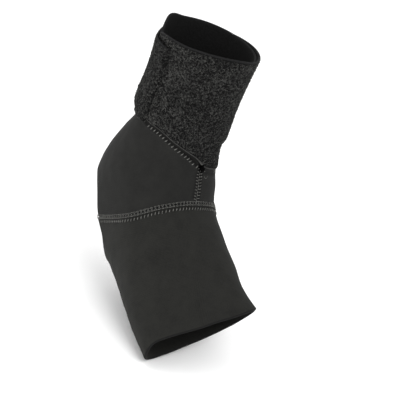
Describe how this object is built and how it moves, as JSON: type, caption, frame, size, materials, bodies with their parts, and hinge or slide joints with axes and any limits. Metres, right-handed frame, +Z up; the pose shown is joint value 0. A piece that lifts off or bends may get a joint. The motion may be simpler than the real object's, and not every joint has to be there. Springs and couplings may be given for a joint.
{
  "type": "ankle brace",
  "caption": "Slip-on neoprene ankle brace for a right foot, open at heel and toes, with a looped pile cuff wound round the lower leg and closed with a hidden hook strip.",
  "frame": {"origin": "centre of the ankle joint, inside the hollow of the brace", "axes": "+Z up along the lower leg, -Y towards the toes, -X towards the outer side of the right foot"},
  "size_m": [0.0902, 0.1606, 0.2047],
  "materials": {
    "neoprene": "matte jersey-faced neoprene",
    "looped_pile": "matte looped pile",
    "hook_tape": "matte"
  },
  "bodies": {
    "root": {"foot_sleeve": "neoprene", "ankle_panel": "neoprene", "cuff": "looped_pile", "hook_strip": "hook_tape"}
  },
  "joints": []
}
